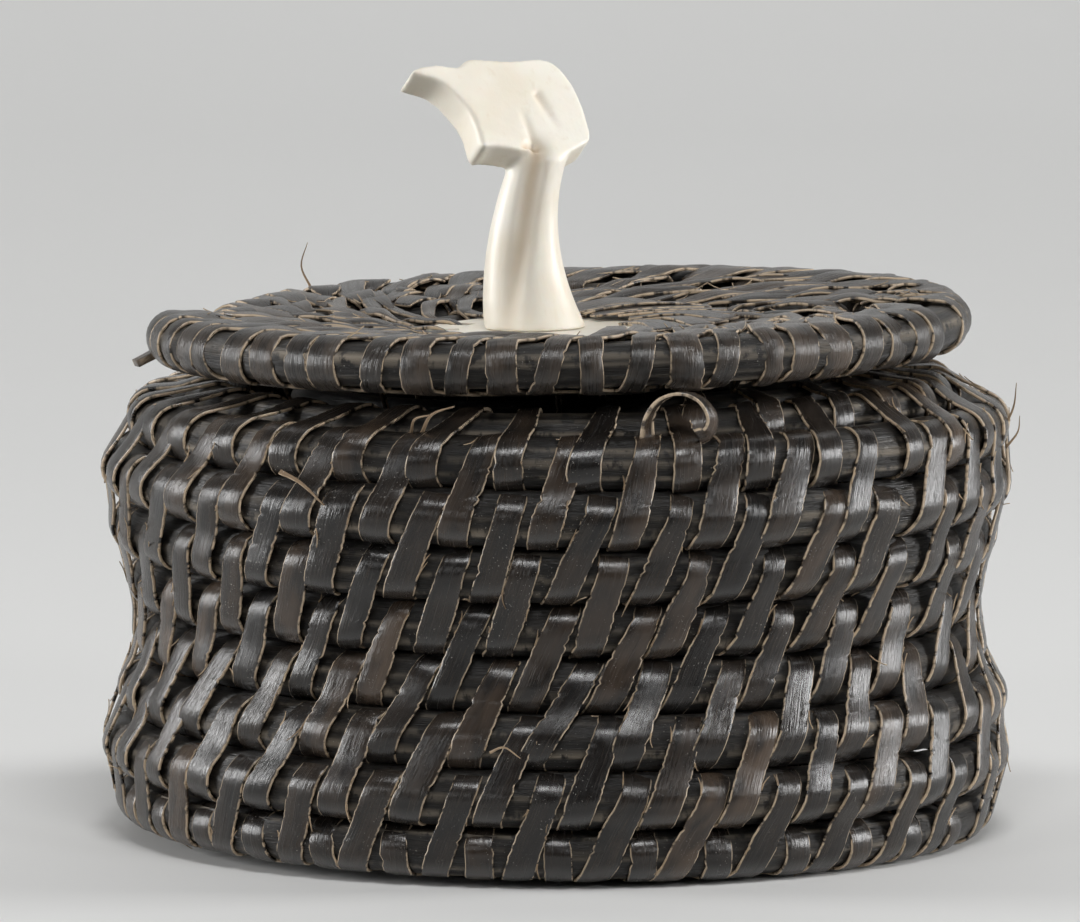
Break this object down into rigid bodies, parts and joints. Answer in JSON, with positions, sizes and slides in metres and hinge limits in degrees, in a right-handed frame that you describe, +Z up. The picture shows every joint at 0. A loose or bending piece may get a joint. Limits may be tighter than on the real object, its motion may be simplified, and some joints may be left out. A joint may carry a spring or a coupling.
{
  "type": "lidded coiled basket",
  "caption": "Round coiled basket of dark baleen with a bulging wall, a drop-in lid and a carved ivory whale-tail finial.",
  "frame": {"origin": "middle of the base, on the surface that the basket stands on", "axes": "+Z up, -Y to the front, where the wall coil ends; +X to the right seen from the front"},
  "size_m": [0.0998, 0.0999, 0.0849],
  "materials": {
    "baleen_rod": "fibrous, satin",
    "baleen_strip": "satin, streaked along the strip",
    "ivory": "polished, faint grain",
    "peg": "plain"
  },
  "bodies": {
    "basket": {"base_starter_disc": "ivory", "base_lacing": "baleen_strip", "base_coil": "baleen_rod", "foot_stitches": "baleen_strip", "wall_coil": "baleen_rod", "shoulder_coil": "baleen_rod", "coil_end_stitches": "baleen_strip", "base_stitches_1": "baleen_strip", "base_stitches_2": "baleen_strip", "base_stitches_3": "baleen_strip", "wall_stitches_1": "baleen_strip", "wall_stitches_2": "baleen_strip", "wall_stitches_3": "baleen_strip", "wall_stitches_4": "baleen_strip", "wall_stitches_5": "baleen_strip", "wall_stitches_6": "baleen_strip", "wall_stitches_7": "baleen_strip", "wall_stitches_8": "baleen_strip"},
    "lid": {"lid_starter_disc": "ivory", "lid_lacing": "baleen_strip", "lid_coil": "baleen_rod", "lid_edge_wraps": "baleen_strip", "lid_stitches_1": "baleen_strip", "lid_stitches_2": "baleen_strip", "lid_stitches_3": "baleen_strip", "lid_stitches_4": "baleen_strip", "lid_flange_coil": "baleen_rod", "lid_flange_lashings": "baleen_strip", "finial": "ivory", "finial_peg": "peg"}
  },
  "joints": [
    {"name": "lid_lift", "type": "slide", "parent": "basket", "child": "lid", "axis": [0, 0, 1], "range_m": [0, 0.06]}
  ]
}
